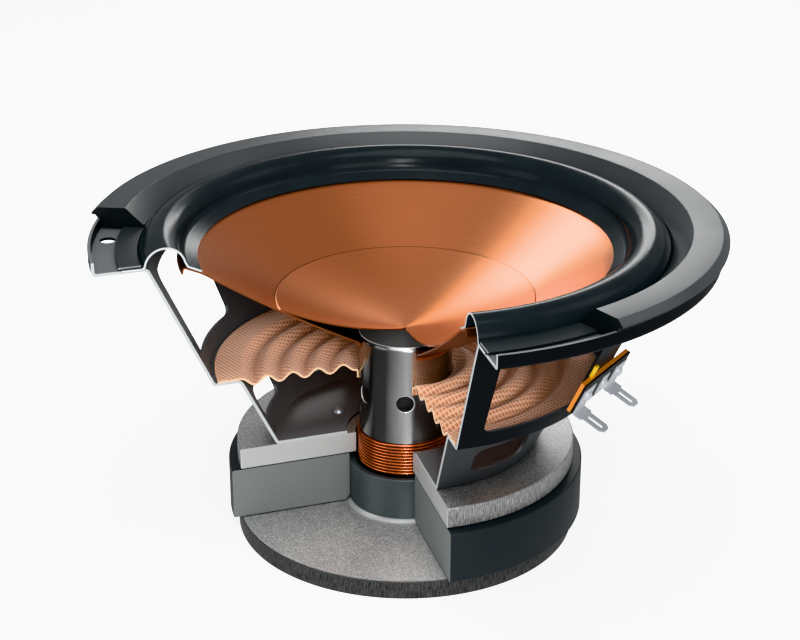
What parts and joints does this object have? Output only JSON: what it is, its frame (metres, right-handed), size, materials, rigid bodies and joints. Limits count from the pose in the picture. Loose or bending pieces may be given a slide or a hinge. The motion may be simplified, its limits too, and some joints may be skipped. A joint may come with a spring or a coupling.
{
  "type": "car subwoofer speaker",
  "caption": "Cutaway car subwoofer driver: metal cone and dust cap on a rubber surround and cloth spider, vented former and copper coil in a ring magnet motor, in a windowed basket.",
  "frame": {"origin": "centre of the back plate's underside", "axes": "+Z along the driver's axis from the back plate to the cone; -Y is the front, where the section is cut away; +X towards the side with the terminals"},
  "size_m": [0.2613, 0.2557, 0.1362],
  "materials": {
    "zinc_steel": "zinc plated, grainy",
    "turned_steel": "turned",
    "glue": "dark adhesive",
    "ferrite": "satin charcoal",
    "dark_steel": "satin slate",
    "basket_paint": "satin black with bright cut edges",
    "trim_paint": "satin grey top with dark bevels",
    "gasket_rubber": "matt",
    "surround_rubber": "satin",
    "spider_cloth": "woven cloth, resin stiffened",
    "copper_anodised": "copper anodised, fine brushed",
    "former_aluminium": "polished",
    "copper_wire": "enamelled copper",
    "phenolic": "phenolic laminate",
    "board_face": "satin black",
    "tinned_metal": "bright tin plate",
    "yellow_sleeve": "woven insulating sleeve"
  },
  "bodies": {
    "frame": {"back_plate": "zinc_steel", "pole_piece": "turned_steel", "lower_glue_layer": "glue", "magnet": "ferrite", "upper_glue_layer": "glue", "top_plate": "zinc_steel", "centring_sleeve": "dark_steel", "sleeve_bead": "glue", "seat_rivets": "dark_steel", "basket": "basket_paint", "trim_ring": "trim_paint", "clamp_gasket": "gasket_rubber", "surround": "surround_rubber", "spider": "spider_cloth", "terminal_board": "phenolic", "terminal_face": "board_face", "solder_lug_left": "tinned_metal", "solder_lug_right": "tinned_metal", "lug_rivets": "tinned_metal", "terminal_clip": "tinned_metal", "terminal_rivet": "tinned_metal", "lead_sleeve": "yellow_sleeve"},
    "cone_assembly": {"cone": "copper_anodised", "dust_cap": "copper_anodised", "voice_coil_former": "former_aluminium", "voice_coil": "copper_wire"}
  },
  "joints": [
    {"name": "cone_slide", "type": "slide", "parent": "frame", "child": "cone_assembly", "axis": [0, 0, 1], "range_m": [-0.008, 0.008], "stiffness_N_per_m": 3000, "deforming": ["surround", "spider"]}
  ]
}
